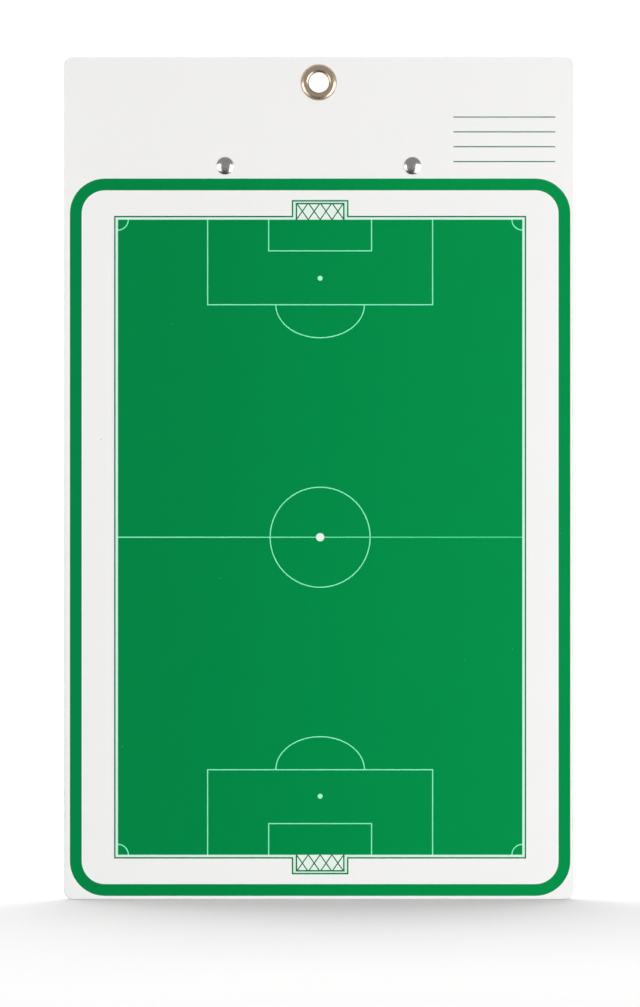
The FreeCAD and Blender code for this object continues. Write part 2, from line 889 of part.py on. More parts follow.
def trim_jaw_plan(body, low, high):
    """Cuts the pressing to its plan: wide wings with round corners, narrowing to the lever."""
    side = S.jaw_width / 2
    wing = -S.wing_reach
    hollow = S.wing_shoulder
    rounding = S.lever_corner
    right = [
        corner(side - S.lip_corner, low, (side - S.lip_corner, low + S.lip_corner)),
        corner(side, low + S.lip_corner),
        corner(side, wing - S.wing_corner, (side - S.wing_corner, wing - S.wing_corner)),
        corner(side - S.wing_corner, wing),
        corner(lever_side + hollow, wing, (lever_side + hollow, wing + hollow), -1),
        corner(lever_side, wing + hollow),
        corner(lever_side, high - rounding, (lever_side - rounding, high - rounding)),
        corner(lever_side - rounding, high),
    ]
    left = []
    for index in reversed(range(len(right))):
        before = right[index - 1] if index else None
        centre = (-before.centre[0], before.centre[1]) if before and before.centre else None
        left.append(corner(-right[index].x, right[index].y, centre, before.turn if before else 1))
    plan = new_sketch(body, "XZ_Plane")
    draw(plan, rectangle(-side - S.cut_margin, side + S.cut_margin, low - S.cut_margin, high + S.cut_margin))
    draw(plan, right + left)
    cut_through(body, plan)


def add_jaw_ears(body, at):
    """Ears round the rod, running on as stiffening flanges under the lever's sides."""
    half_metal = S.jaw_sheet / 2
    ear = S.jaw_ear_radius
    deep = S.flange_depth
    half_bend = tangent(S.lever_angle / 2)
    end_height = crown_height + S.flange_length * at.lever[0]
    end_reach = S.lever_bend_reach + S.flange_length * at.lever[1]
    side_view = new_sketch(body, "YZ_Plane", jaw_ear_inside)
    draw(side_view, [
        corner(crown_height + half_metal, -ear),
        corner(S.pivot_height, -ear, (S.pivot_height, 0), -1),
        corner(S.pivot_height, ear),
        corner(crown_height - deep, ear),
        corner(crown_height - deep, S.lever_bend_reach + deep * half_bend),
        corner(end_height - deep * at.lever[1], end_reach + deep * at.lever[0]),
        corner(end_height + half_metal * at.lever[1], end_reach - half_metal * at.lever[0]),
        corner(crown_height + half_metal, S.lever_bend_reach - half_metal * half_bend),
    ])
    mirror(body, pad(body, side_view, S.jaw_sheet))
    rod_hole = new_sketch(body, "YZ_Plane")
    draw_circle(rod_hole, S.pivot_height, 0, rod_hole_radius)
    cut_through(body, rod_hole)


def make_clip_pivot_rod():
    """Rod through all four ears, with both ends headed over."""
    body = new_body("clip_pivot_rod", 0, back_face + S.pivot_height, pivot_z)
    head = S.rod_head_radius
    seat = lever_side + S.side_clearance
    tip = seat + S.rod_head_height
    ball = dome_radius(head, S.rod_head_height)
    profile = new_sketch(body, "XY_Plane")
    draw(profile, [
        corner(-tip, 0, (ball - tip, 0), -1),
        corner(-seat, head),
        corner(-seat, S.rod_radius),
        corner(seat, S.rod_radius),
        corner(seat, head, (tip - ball, 0), -1),
        corner(tip, 0),
    ])
    revolve(body, profile, "H_Axis")


# Torsion springs: one wire each, two straight legs and a coil of quarter-turn biarcs.

def leg_slope(level, leg):
    """Slope of a leg that leaves the coil on a tangent and meets a level with its end.

    The wire's far side there stands at (coil + wire) cos a + leg sin a from the pivot.
    """
    coil = S.spring_radius.value + S.spring_wire_radius.value
    reach = math.hypot(coil, leg)
    return math.atan2(leg, coil) - math.acos((level - S.spring_seat_gap.value) / reach)


def biarc(start, start_way, finish, finish_way):
    """Two arcs that leave one point along its direction and reach another along its own."""
    span = finish - start
    ways = start_way + finish_way
    twist = 2 * (1 - start_way.dot(finish_way))
    along = span.dot(ways)
    arm = (math.sqrt(along * along + twist * span.dot(span)) - along) / twist
    first = start + start_way * arm
    second = finish - finish_way * arm
    joint = (first + second) / 2
    return [arc_of_arms(start, first, joint), arc_of_arms(joint, second, finish)]


def arc_of_arms(start, knee, finish):
    """The arc inside a bend of two equal arms."""
    half_turn = (knee - start).getAngle(finish - knee) / 2
    weight = math.cos(half_turn)
    middle = ((start + finish) / 2 + knee * weight) / (1 + weight)
    return Part.Arc(start, middle, finish)


def spring_wire_path():
    """The wire's line for the right-hand spring: points and directions along the coil, and both leg ends."""
    coil = S.spring_radius.value
    rise = S.spring_pitch.value / (2 * math.pi)
    base_leg = S.spring_base_leg.value
    lever_leg = S.spring_lever_leg.value
    base_slope = leg_slope(S.pivot_height.value - S.base_sheet.value, base_leg)
    lever_slope = leg_slope(S.crown_rise.value, lever_leg)
    first = math.pi + base_slope
    last = 2 * math.pi * (SPRING_FULL_TURNS + 1) - lever_slope
    outer_x = base_ear_inside.value - S.spring_end_gap.value - S.spring_wire_radius.value
    steps = 4 * SPRING_FULL_TURNS + 2
    points = []
    ways = []
    for step in range(steps + 1):
        turn = first + (last - first) * step / steps
        x = outer_x - (last - turn) * rise
        points.append(FreeCAD.Vector(x, coil * math.cos(turn), coil * math.sin(turn)))
        ways.append(FreeCAD.Vector(rise, -coil * math.sin(turn), coil * math.cos(turn)).normalize())
    slant = coil / math.hypot(coil, rise)
    base_end = points[0] - ways[0] * (base_leg / slant)
    lever_end = points[-1] + ways[-1] * (lever_leg / slant)
    return points, ways, base_end, lever_end


def least_gap(points):
    """Least room between turns: the nearest points at least half a turn apart along the coil."""
    nearest = min(
        (points[i] - points[j]).Length
        for i in range(len(points)) for j in range(i + len(points) // (2 * SPRING_FULL_TURNS + 1), len(points)))
    return nearest - 2 * S.spring_wire_radius.value


def make_clip_springs():
    points, ways, base_end, lever_end = spring_wire_path()
    curves = [Part.LineSegment(base_end, points[0])]
    for index in range(len(points) - 1):
        curves += biarc(points[index], ways[index], points[index + 1], ways[index + 1])
    curves.append(Part.LineSegment(points[-1], lever_end))
    path = Part.Wire([curve.toShape() for curve in curves])
    samples = path.discretize(Number=400)
    print(f"spring wire {path.Length:.1f} mm, least gap to itself {least_gap(samples):.2f} mm")
    ring = Part.Circle(base_end, ways[0], S.spring_wire_radius.value)
    shell = Part.BRepOffsetAPI.MakePipeShell(path)
    shell.add(Part.Wire([ring.toShape()]))
    shell.build()
    shell.makeSolid()
    right = shell.shape()
    left = right.mirror(FreeCAD.Vector(0, 0, 0), FreeCAD.Vector(1, 0, 0))
    for label, shape in (("clip_spring_right", right), ("clip_spring_left", left)):
        item = doc.addObject("Part::Feature", label)
        item.Shape = shape
        place(item, 0, back_face + S.pivot_height, pivot_z)
        keep(item, label)


make_board_panel()
make_hanging_eyelet()
make_eyelet_washer()
make_clip_rivet("clip_rivet_left", -rivet_x)
make_clip_rivet("clip_rivet_right", rivet_x)
make_front_prints()
make_note_lines_print()
make_rear_prints()
make_clip_base_plate()
make_clip_jaw()
make_clip_pivot_rod()
make_clip_springs()

doc.recompute()
for item in doc.Objects:
    if "Invalid" in item.State or "Error" in item.State:
        raise RuntimeError(f"{item.Label}: {item.State}")
for item in pieces:
    if item.Shape.isNull() or not item.Shape.isValid():
        raise RuntimeError(f"{item.Label}: no valid shape")
os.makedirs("parts", exist_ok=True)
for item in pieces:
    item.Shape.exportStep(os.path.join("parts", item.Label + ".step"))
    print(f"{item.Label}: {len(item.Shape.Solids)} solids, {item.Shape.Volume:.1f} mm3")
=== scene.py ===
# %% [markdown]
# This lesson dresses a coaching board for its picture. The board is a white plastic panel with a football
# pitch screen-printed on each face, a brass eyelet to hang it by and a sprung steel clip riveted to its
# back. A imported model already holds every rigid piece at its real size, so the script loads that model
# first and moves none of it. What is left is the finish: what each surface is made of, how the springs'
# wire runs and how a studio lights it all.

# %% Load the imported model
import json
import math

import bpy
import numpy as np
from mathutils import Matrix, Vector


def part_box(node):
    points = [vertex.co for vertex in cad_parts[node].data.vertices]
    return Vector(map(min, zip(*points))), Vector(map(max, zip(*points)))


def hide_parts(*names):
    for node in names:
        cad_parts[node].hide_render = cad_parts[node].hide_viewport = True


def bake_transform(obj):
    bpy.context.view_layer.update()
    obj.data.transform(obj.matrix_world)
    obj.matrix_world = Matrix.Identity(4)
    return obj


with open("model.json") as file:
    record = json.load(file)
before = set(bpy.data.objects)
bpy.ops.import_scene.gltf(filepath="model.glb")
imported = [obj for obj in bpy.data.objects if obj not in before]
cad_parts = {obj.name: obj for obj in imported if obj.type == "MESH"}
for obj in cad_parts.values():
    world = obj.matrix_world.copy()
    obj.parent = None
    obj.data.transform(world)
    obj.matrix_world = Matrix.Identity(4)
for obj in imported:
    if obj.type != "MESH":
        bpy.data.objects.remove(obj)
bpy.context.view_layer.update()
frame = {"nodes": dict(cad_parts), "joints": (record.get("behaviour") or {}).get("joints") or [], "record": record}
MM = 0.001

# %% [markdown]
# Every finish below is a network of shader nodes. Wiring such networks link by link is long-winded, so
# two small helpers let us write them as formulas. A Value is one output socket, and arithmetic on it adds
# Math nodes. A Network adds any other node from its type, its settings and what goes into its sockets.
# The same Network will serve the sky of the studio later on.

# %% Write shader networks as formulas
class Value:
    """One output socket of a node. Arithmetic on it adds a Math node, so 1 - mask reads as it looks."""

    def __init__(self, network, socket):
        self.network = network
        self.socket = socket

    def math(self, operation, *terms):
        """A Math node whose inputs are the terms, in order."""
        return self.network.node("ShaderNodeMath", {"operation": operation}, dict(enumerate(terms)))

    def __add__(self, other):
        return self.math("ADD", self, other)

    def __radd__(self, other):
        return self.math("ADD", other, self)

    def __sub__(self, other):
        return self.math("SUBTRACT", self, other)

    def __rsub__(self, other):
        return self.math("SUBTRACT", other, self)

    def __mul__(self, other):
        return self.math("MULTIPLY", self, other)

    def __rmul__(self, other):
        return self.math("MULTIPLY", other, self)

    def __pow__(self, other):
        return self.math("POWER", self, other)

    def __rpow__(self, other):
        return self.math("POWER", other, self)

    def __abs__(self):
        return self.math("ABSOLUTE", self)


class Network:
    """A node tree that grows as formulas are written."""

    def __init__(self, tree):
        self.tree = tree

    def node(self, kind, settings=None, sockets=None, output=0):
        """Adds a node: settings first, then sockets. Returns one of its outputs as a Value."""
        made = self.tree.nodes.new(kind)
        for name, setting in (settings or {}).items():
            setattr(made, name, setting)
        for name, item in (sockets or {}).items():
            self.feed(made.inputs[name], item)
        return Value(self, made.outputs[output])

    def feed(self, socket, item):
        """Links a Value to a socket, or sets the socket to a plain number, colour or vector."""
        if isinstance(item, Value):
            self.tree.links.new(item.socket, socket)
        else:
            socket.default_value = item

    def axes(self, vector):
        """The three parts of a vector."""
        return [self.node("ShaderNodeSeparateXYZ", {}, {0: vector}, axis) for axis in "XYZ"]

    def fade(self, value, low, high):
        """0 up to low, 1 from high on, and a smooth rise between them. With low above high it falls."""
        return self.node(
            "ShaderNodeMapRange", {"interpolation_type": "SMOOTHSTEP"},
            {"Value": value, "From Min": low, "From Max": high})

    def blend(self, share, first, second):
        """A colour that goes from first to second as share goes from 0 to 1."""
        return self.node("ShaderNodeMix", {"data_type": "RGBA"}, {0: share, 6: first, 7: second}, 2)


print("helpers: Value and Network")

# %% [markdown]
# A finish is one Principled shader. What is the same all over is set on the shader's own sockets, and
# what changes over the surface is fed in from textures. Nearly all textures read Object coordinates,
# which are metres here, so a grain of 2 mm is written as 2 mm. Three textures do most of the work: soft
# noise for mottling, the same noise drawn out along one direction for scratches and grain, and rare round
# specks.

# %% A finish and its textures
class Finish(Network):
    """A material with one Principled shader and textures in real sizes."""

    def __init__(self, name, constants):
        self.material = bpy.data.materials.new(name)
        self.material.use_nodes = True
        super().__init__(self.material.node_tree)
        self.cover(constants)
        self.place = self.node("ShaderNodeTexCoord", output="Object")

    def cover(self, sockets):
        """Sets or feeds sockets of the shader."""
        surface = self.tree.nodes["Principled BSDF"]
        for name, item in sockets.items():
            self.feed(surface.inputs[name], item)

    def turned(self, degrees):
        """Object coordinates turned about Y, so that a grain can run aslant on the board's faces."""
        return self.node(
            "ShaderNodeMapping", {}, {"Vector": self.place, "Rotation": (0, math.radians(degrees), 0)})

    def noise(self, size, detail, along=(1, 1, 1), place=None):
        """Noise of about 0 to 1 with grains of a size, drawn out by a factor along each axis."""
        stretch = tuple(1 / (size * factor) for factor in along)
        scaled = self.node(
            "ShaderNodeVectorMath", {"operation": "MULTIPLY"}, {0: place or self.place, 1: stretch})
        return self.node("ShaderNodeTexNoise", {}, {"Vector": scaled, "Scale": 1.0, "Detail": detail})

    def specks(self, spacing, radius, share):
        """Round specks on the board's faces: in cells of a spacing, a share of the cells holds one."""
        x, _, z = self.axes(self.place)
        flat = self.node("ShaderNodeCombineXYZ", {}, {"X": x, "Y": z})
        cells = {"Vector": flat, "Scale": 1 / spacing}
        settings = {"voronoi_dimensions": "2D"}
        distance = self.node("ShaderNodeTexVoronoi", settings, cells, "Distance")
        luck = self.axes(self.node("ShaderNodeTexVoronoi", settings, cells, "Color"))[0]
        rim = radius / spacing
        disc = self.fade(distance, rim, 0.6 * rim)
        chosen = self.fade(luck, 1 - share, 1 - 0.98 * share)
        return disc * chosen

    def hairlines(self, degrees, amount):
        """Thin straight scratches aslant on the board's faces: the crests of a drawn-out noise."""
        width = 0.25 * MM
        crest = self.noise(width, detail=1.0, along=(90, 1, 1), place=self.turned(degrees))
        return self.fade(crest, 0.76 - amount, 0.8)

    def relief(self, height, depth, below=None):
        """A bump of a depth in metres, on top of another bump if there is one."""
        under = {} if below is None else {"Normal": below}
        return self.node("ShaderNodeBump", {}, {"Height": height, "Distance": depth, **under})


print("helpers: Finish with noise, specks, hairlines and relief")

# %% [markdown]
# The panel is white plastic, in which light wanders sideways under the skin. So the narrow lines that a
# print leaves open pick up some of the ink's green: most inside a pitch, where ink lies close on both
# sides, less between the pitch and its thin outer line and in the penalty spots, least in the nets and
# not at all in the large centre spot. Some ink has also crept into the halfway line, more and more
# towards the right. The light under the skin could be simulated, but lines this thin would come out
# noisy. Instead each place is found from the box of its print, and the white is tinted there.

# %% Where the white is tinted
lined_prints = ["front_pitch_print", "rear_half_pitch_print"]
netted_prints = ["front_top_goal_net_print", "front_bottom_goal_net_print", "rear_goal_net_print"]
outline_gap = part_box("front_touchline_print")[1].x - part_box("front_pitch_print")[1].x
penalty_spot_distance = 27.6 * MM
soft_edge = 0.2 * MM
face_fade = (1.0 * MM, 0.5 * MM)
centre_spot_fade = (2.3 * MM, 1.5 * MM)
penalty_spot_fade = (1.2 * MM, 0.3 * MM)
halfway_line_fade = (0.5 * MM, 0.3 * MM)


def distance_from(first, second):
    """Distance from an axis, from the offsets to it in the two directions across it."""
    return (first * first + second * second) ** 0.5


def printed_box(finish, name, margin=0.0):
    """1 in the box of a print, grown by a margin, on the face that carries it, and 0 elsewhere."""
    low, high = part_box(name)
    middle = (low + high) / 2
    half_width = (high.x - low.x) / 2 + margin
    half_height = (high.z - low.z) / 2 + margin
    x, y, z = finish.axes(finish.place)
    across = finish.fade(abs(x - middle.x), half_width, half_width - soft_edge)
    upright = finish.fade(abs(z - middle.z), half_height, half_height - soft_edge)
    return across * upright * finish.fade(abs(y - middle.y), *face_fade)


def front_marks(finish):
    """Masks of three marks of the front: centre spot, penalty spots and how faint the halfway line is."""
    low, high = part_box("front_pitch_print")
    middle = (low + high) / 2
    half_length = (high.z - low.z) / 2
    x, _, z = finish.axes(finish.place)
    across = x - middle.x
    from_end = half_length - abs(z - middle.z)
    from_halfway = half_length - from_end
    centre = finish.fade(distance_from(across, from_halfway), *centre_spot_fade)
    penalty = finish.fade(distance_from(across, from_end - penalty_spot_distance), *penalty_spot_fade)
    halfway = finish.fade(from_halfway, *halfway_line_fade) * (1 - centre)
    rightwards = finish.fade(x, low.x, high.x)
    return centre, penalty, halfway * rightwards * printed_box(finish, "front_pitch_print")


print("tinted:", len(lined_prints), "pitches,", len(netted_prints), "nets, outlines",
      round(outline_gap / MM, 2), "mm out")

# %% [markdown]
# The panel's face is a satin dry-wipe skin. A flat white would look like paper, so the gloss changes
# where a cloth has wiped it, a few hairlines cross it and rare specks sit in it. The cut edge is
# different: it has no skin, so it is rougher, a little greyer and marked across by the saw. The surface's
# own normal tells face from edge.

# %% White dry-wipe plastic
wipe_angle = 24
crossing_angle = -51
dull_white = (0.876, 0.877, 0.874, 1)
clear_white = (0.892, 0.893, 0.890, 1)
sawn_white = (0.80, 0.80, 0.79, 1)
outline_tint = (0.60, 0.89, 0.76, 1)
net_tint = (0.77, 0.89, 0.83, 1)
line_tint = (0.21, 0.92, 0.57, 1)
crept_ink = (0.03, 0.70, 0.27, 1)
speck_grey = (0.20, 0.20, 0.19, 1)


def tinted(finish, white):
    """The panel's white with the green of the ink close by."""
    outlined = sum(printed_box(finish, name, outline_gap) for name in lined_prints + netted_prints)
    netted = sum(printed_box(finish, name) for name in netted_prints)
    lined = sum(printed_box(finish, name) for name in lined_prints)
    centre, penalty, faint = front_marks(finish)
    outer = finish.blend(outlined - centre, white, outline_tint)
    meshed = finish.blend(netted, outer, net_tint)
    inner = finish.blend(lined - centre - penalty, meshed, line_tint)
    return finish.blend(faint, inner, crept_ink)


def wiping(finish):
    """How much a cloth has dulled the face, 0 to 1: broad streaks of a slanting wipe."""
    slant = finish.turned(wipe_angle)
    broad = finish.noise(60 * MM, detail=0.0, along=(3.0, 1, 0.6), place=slant)
    return finish.fade(broad, 0.2, 0.8)


def dry_wipe_plastic():
    """Satin white, tinted by the prints, with a rougher, greyer edge where the sheet was sawn."""
    finish = Finish("dry_wipe_plastic", {"IOR": 1.5})
    normal = finish.node("ShaderNodeTexCoord", output="Normal")
    facing = abs(finish.axes(normal)[1])
    edge = finish.fade(facing, 0.85, 0.3)
    cloud = finish.noise(25 * MM, detail=3.0)
    clean = finish.blend(cloud, dull_white, clear_white)
    sawn = finish.blend(edge, clean, sawn_white)
    specks = finish.specks(spacing=34 * MM, radius=0.32 * MM, share=0.06)
    colour = finish.blend(0.6 * specks, tinted(finish, sawn), speck_grey)
    lines = finish.hairlines(wipe_angle, amount=0.02) + finish.hairlines(crossing_angle, amount=0.01)
    rough = 0.28 + 0.03 * wiping(finish) + 0.08 * lines + 0.25 * edge
    peel = finish.noise(1.6 * MM, detail=1.0)
    saw = finish.noise(0.3 * MM, detail=1.0, along=(1, 12, 1))
    skin = finish.relief(peel - 0.3 * lines, depth=0.004 * MM)
    marked = finish.relief(saw * edge, depth=0.015 * MM, below=skin)
    finish.cover({"Base Color": colour, "Roughness": rough, "Normal": marked})
    return finish.material


print("finish:", dry_wipe_plastic.__name__)

# %% [markdown]
# The print is one pass of green ink through a mesh screen. It is a thin film, duller than the plastic, so
# its reflection is weak and its colour stays deep. Up close the film is a little uneven: the screen's
# threads leave a fine weave in its surface, and the ink lies thicker in some places than in others. From
# a step away the green is painted lighter towards the right: painted light, for the light that falls more
# strongly on that side. In a broad field the blade that pressed the ink through dips into the open
# mesh and scoops ink out, which it can't do in a fine line, so the thin outlines and the nets are
# printed darker.

# %% Green screen ink
fine_endings = ("touchline_print", "net_print", "lines_print")
fine_prints = [name for name in frame["nodes"] if name.endswith(fine_endings)]
field_greens = ((0.0, 0.234, 0.059, 1), (0.0, 0.288, 0.068, 1))
fine_greens = ((0.0, 0.150, 0.040, 1), (0.0, 0.180, 0.045, 1))
pinhole_green = (0.62, 0.72, 0.62, 1)


def screen_ink(name, thick_and_shaded, thin_and_lit):
    """Ink painted lighter towards the right, where more light falls, with real unevenness in its film."""
    finish = Finish(name, {"IOR": 1.45, "Specular IOR Level": 0.02})
    cloud = finish.noise(14 * MM, detail=3.0)
    grain = finish.noise(0.5 * MM, detail=1.0)
    field_low, field_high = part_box("front_pitch_print")
    # Painted light: the green grows lighter towards the right of the field, standing in for stronger light there.
    painted_light_ramp = finish.fade(finish.axes(finish.place)[0], field_low.x, field_high.x)
    ink_and_painted_light = finish.blend(0.80 * painted_light_ramp + 0.15 * cloud + 0.05 * grain, thick_and_shaded, thin_and_lit)
    pinholes = finish.specks(spacing=23 * MM, radius=0.16 * MM, share=0.05)
    colour = finish.blend(0.5 * pinholes, ink_and_painted_light, pinhole_green)
    lines = finish.hairlines(wipe_angle, amount=0.02)
    rough = 0.36 + 0.05 * wiping(finish) + 0.05 * grain + 0.08 * lines
    thread = 0.3 * MM
    level_threads = finish.noise(thread, detail=0.0, along=(4, 1, 1))
    upright_threads = finish.noise(thread, detail=0.0, along=(1, 1, 4))
    surface = finish.relief(level_threads + upright_threads + 0.5 * cloud, depth=0.006 * MM)
    finish.cover({"Base Color": colour, "Roughness": rough, "Normal": surface})
    return finish.material


print("finish:", screen_ink.__name__, "darker on", len(fine_prints), "fine prints")

# %% [markdown]
# The eyelet and its washer are thin brass, rolled and lacquered. Rolling leaves fine rings about the
# hole, so the grain is noise of one variable, the distance from the hole's middle. The lacquer is a full
# clear coat: its reflections are white, where those of the metal below are yellow. Air has browned the
# brass where no rag reaches to polish it: at the foot of the flange, close to the board, and in the
# throat of the hole.

# %% Rolled brass
eyelet_low, eyelet_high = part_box("hanging_eyelet")
eyelet_radius = (eyelet_high.x - eyelet_low.x) / 2
eyelet_middle = (eyelet_low + eyelet_high) / 2
bore = next(mount for mount in frame["record"]["mounts"] if mount["name"] == "hanging_eyelet")
bore_radius = bore["dims"]["r_mm"] * MM
ring_width = 0.12 * MM
foot_fade = (eyelet_radius - 0.9 * MM, eyelet_radius - 0.2 * MM)
throat_fade = (bore_radius + 1.0 * MM, bore_radius)
lacquer = {"Coat Weight": 1.0, "Coat Roughness": 0.12, "Coat IOR": 1.7}
clean_brass = (0.80, 0.62, 0.44, 1)
brown_brass = (0.42, 0.30, 0.17, 1)


def rolled_brass():
    """Lacquered brass with rings about the hole, browned at the foot and in the throat."""
    finish = Finish("rolled_brass", {"Metallic": 1.0, **lacquer})
    x, _, z = finish.axes(finish.place)
    radius = distance_from(x - eyelet_middle.x, z - eyelet_middle.z)
    rings = finish.node(
        "ShaderNodeTexNoise", {"noise_dimensions": "1D"}, {"W": radius, "Scale": 1 / ring_width})
    stain = finish.noise(2.2 * MM, detail=3.0)
    foot = finish.fade(radius, *foot_fade)
    throat = finish.fade(radius, *throat_fade)
    tarnish = finish.fade(0.4 * stain + 0.5 * foot + 0.5 * throat, 0.3, 0.75)
    colour = finish.blend(tarnish, clean_brass, brown_brass)
    rough = 0.24 + 0.08 * stain + 0.06 * tarnish
    surface = finish.relief(rings, depth=0.02 * MM)
    finish.cover({"Base Color": colour, "Roughness": rough, "Normal": surface})
    return finish.material


print("finish:", rolled_brass.__name__, "on a flange of radius", round(eyelet_radius / MM, 2), "mm")

# %% [markdown]
# The rivets are nickel-plated, domed by the punch that set them. A dome is a small round mirror of the
# whole studio, so its finish has to stay smooth enough to show the lights and dull enough not to look
# like glass. Both rivets share one material: they stand at the same height and mirror each other, so the
# distance from a rivet's middle is found from the size of x.

# %% Rivet nickel
rivet_low, rivet_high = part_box("clip_rivet_right")
rivet_middle = (rivet_low + rivet_high) / 2
rivet_radius = (rivet_high.x - rivet_low.x) / 2
rivet_foot_width = 0.6 * MM
clean_nickel = (0.64, 0.625, 0.605, 1)
grimy_nickel = (0.36, 0.34, 0.32, 1)


def rivet_nickel():
    """Plated nickel with stains, a few scratches and grime round the foot of the dome."""
    finish = Finish("rivet_nickel_plate", {"Metallic": 1.0})
    x, _, z = finish.axes(finish.place)
    radius = distance_from(abs(x) - rivet_middle.x, z - rivet_middle.z)
    stain = finish.noise(1.4 * MM, detail=3.0)
    foot = finish.fade(radius, rivet_radius - rivet_foot_width, rivet_radius)
    grime = finish.fade(0.6 * stain + 0.4 * foot, 0.45, 0.85)
    colour = finish.blend(grime, clean_nickel, grimy_nickel)
    slant = finish.turned(35)
    scratch = finish.fade(finish.noise(0.12 * MM, detail=1.0, along=(8, 1, 1), place=slant), 0.6, 0.8)
    rough = 0.20 + 0.08 * stain + 0.12 * grime + 0.08 * scratch
    surface = finish.relief(stain + 0.3 * scratch, depth=0.03 * MM)
    finish.cover({"Base Color": colour, "Roughness": rough, "Normal": surface})
    return finish.material


print("finish:", rivet_nickel.__name__, "at", round(rivet_middle.x / MM, 1), "mm from the middle")

# %% [markdown]
# The clip is pressed from sheet steel and nickel-plated. The sheet was rolled along its width, and that
# grain still shows through the plating: fine lines along X, which stretch each reflection across them,
# and broader streaks of more and less gloss. Paper and thumbs dull the plating a little, in soft patches.

# %% Plated clip steel
dark_streak = (0.55, 0.54, 0.525, 1)
light_streak = (0.70, 0.69, 0.675, 1)


def plated_steel():
    """Plated sheet with rolling grain along X, worn patches and a few slanting scratches."""
    finish = Finish("plated_clip_steel", {"Metallic": 1.0})
    grain = finish.noise(0.10 * MM, detail=2.0, along=(120, 1, 1))
    streak = finish.noise(0.7 * MM, detail=2.0, along=(90, 1, 1))
    worn = finish.fade(finish.noise(16 * MM, detail=2.0), 0.4, 0.75)
    colour = finish.blend(streak, dark_streak, light_streak)
    slant = finish.turned(63)
    scratch = finish.fade(finish.noise(0.2 * MM, detail=1.0, along=(40, 1000, 1), place=slant), 0.68, 0.8)
    rough = 0.12 + 0.10 * grain + 0.08 * streak + 0.05 * worn + 0.10 * scratch
    surface = finish.relief(grain + 0.6 * streak - 0.3 * scratch, depth=0.008 * MM)
    finish.cover({"Base Color": colour, "Roughness": rough, "Normal": surface})
    return finish.material


print("finish:", plated_steel.__name__)

# %% [markdown]
# Spring wire is drawn through a die, which leaves lines along its length. Object coordinates know nothing
# of a coil's direction, so this finish reads the wire's own UV map instead, where U runs along the wire
# in metres and V once round it.

# %% Drawn spring wire
grains_per_metre = 150.0
grains_around = 26.0
oiled_wire = (0.36, 0.36, 0.37, 1)
bare_wire = (0.54, 0.53, 0.52, 1)


def drawn_wire():
    """Steel wire with lines along it and a patchy film of oil."""
    finish = Finish("drawn_spring_wire", {"Metallic": 1.0})
    along, around, _ = finish.axes(finish.node("ShaderNodeUVMap", {"uv_map": "wire"}))
    lines = finish.node(
        "ShaderNodeCombineXYZ", {}, {"X": along * grains_per_metre, "Y": around * grains_around})
    drawn = finish.node("ShaderNodeTexNoise", {}, {"Vector": lines, "Scale": 1.0, "Detail": 2.0})
    oil = finish.noise(3 * MM, detail=2.0)
    colour = finish.blend(oil, oiled_wire, bare_wire)
    rough = 0.20 + 0.16 * drawn + 0.08 * oil
    surface = finish.relief(drawn, depth=0.008 * MM)
    finish.cover({"Base Color": colour, "Roughness": rough, "Normal": surface})
    return finish.material


print("finish:", drawn_wire.__name__)

# %% [markdown]
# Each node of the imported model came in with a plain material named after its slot. Swapping that for the
# finish of the same slot dresses all the rigid pieces at once, and the fine prints take the darker ink.
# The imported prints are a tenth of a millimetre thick, to be solids, where real ink is a film of a few
# microns. A film casts no shadow on the lines that it leaves open, so the prints cast none either. The
# shadow in front of the board is a neutral grey in the picture, so the panel and its prints throw no
# coloured light on the floor.

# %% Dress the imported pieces
finishes = {
    "white_board": dry_wipe_plastic(),
    "green_ink": screen_ink("screen_ink", *field_greens),
    "eyelet_brass": rolled_brass(),
    "rivet_nickel": rivet_nickel(),
    "clip_nickel": plated_steel(),
    "spring_steel": drawn_wire(),
}
fine_ink = screen_ink("fine_line_ink", *fine_greens)
for name, piece in frame["nodes"].items():
    for slot in piece.material_slots:
        slot.material = fine_ink if name in fine_prints else finishes[slot.material.name]
    piece.visible_shadow = not name.endswith("_print")
    piece.visible_diffuse = not name.endswith(("_print", "_panel"))
print("dressed:", {name: piece.material_slots[0].material.name for name, piece in frame["nodes"].items()})

# %% [markdown]
# The clip's two torsion springs sit on the pivot rod. Each is one wire: a straight leg on the base plate,
# three and a half turns and a straight leg under the lever. The imported springs are rigid, and a real one
# twists as the clip opens. The wire is worked out again here, in the same sizes, as a tube round a line.
# The line's formula is a helix with a tangent line added at each end.

# %% The line of a spring
hinge = Vector(frame["joints"][0]["pos_m"])
wire_radius = 0.6 * MM
coil_radius = 2.6 * MM
coil_pitch = 1.7 * MM
coil_outer_x = 23.4 * MM
full_turns = 3
base_leg = 12.0 * MM
lever_leg = 8.5 * MM
base_level = 7.0 * MM
lever_level = 5.5 * MM
seat_gap = 0.1 * MM


def leg_slope(level, leg):
    """Slope a of a leg whose end meets a level: (coil + wire) cos a + leg sin a = level - gap."""
    coil = coil_radius + wire_radius
    return math.atan2(leg, coil) - math.acos((level - seat_gap) / math.hypot(coil, leg))


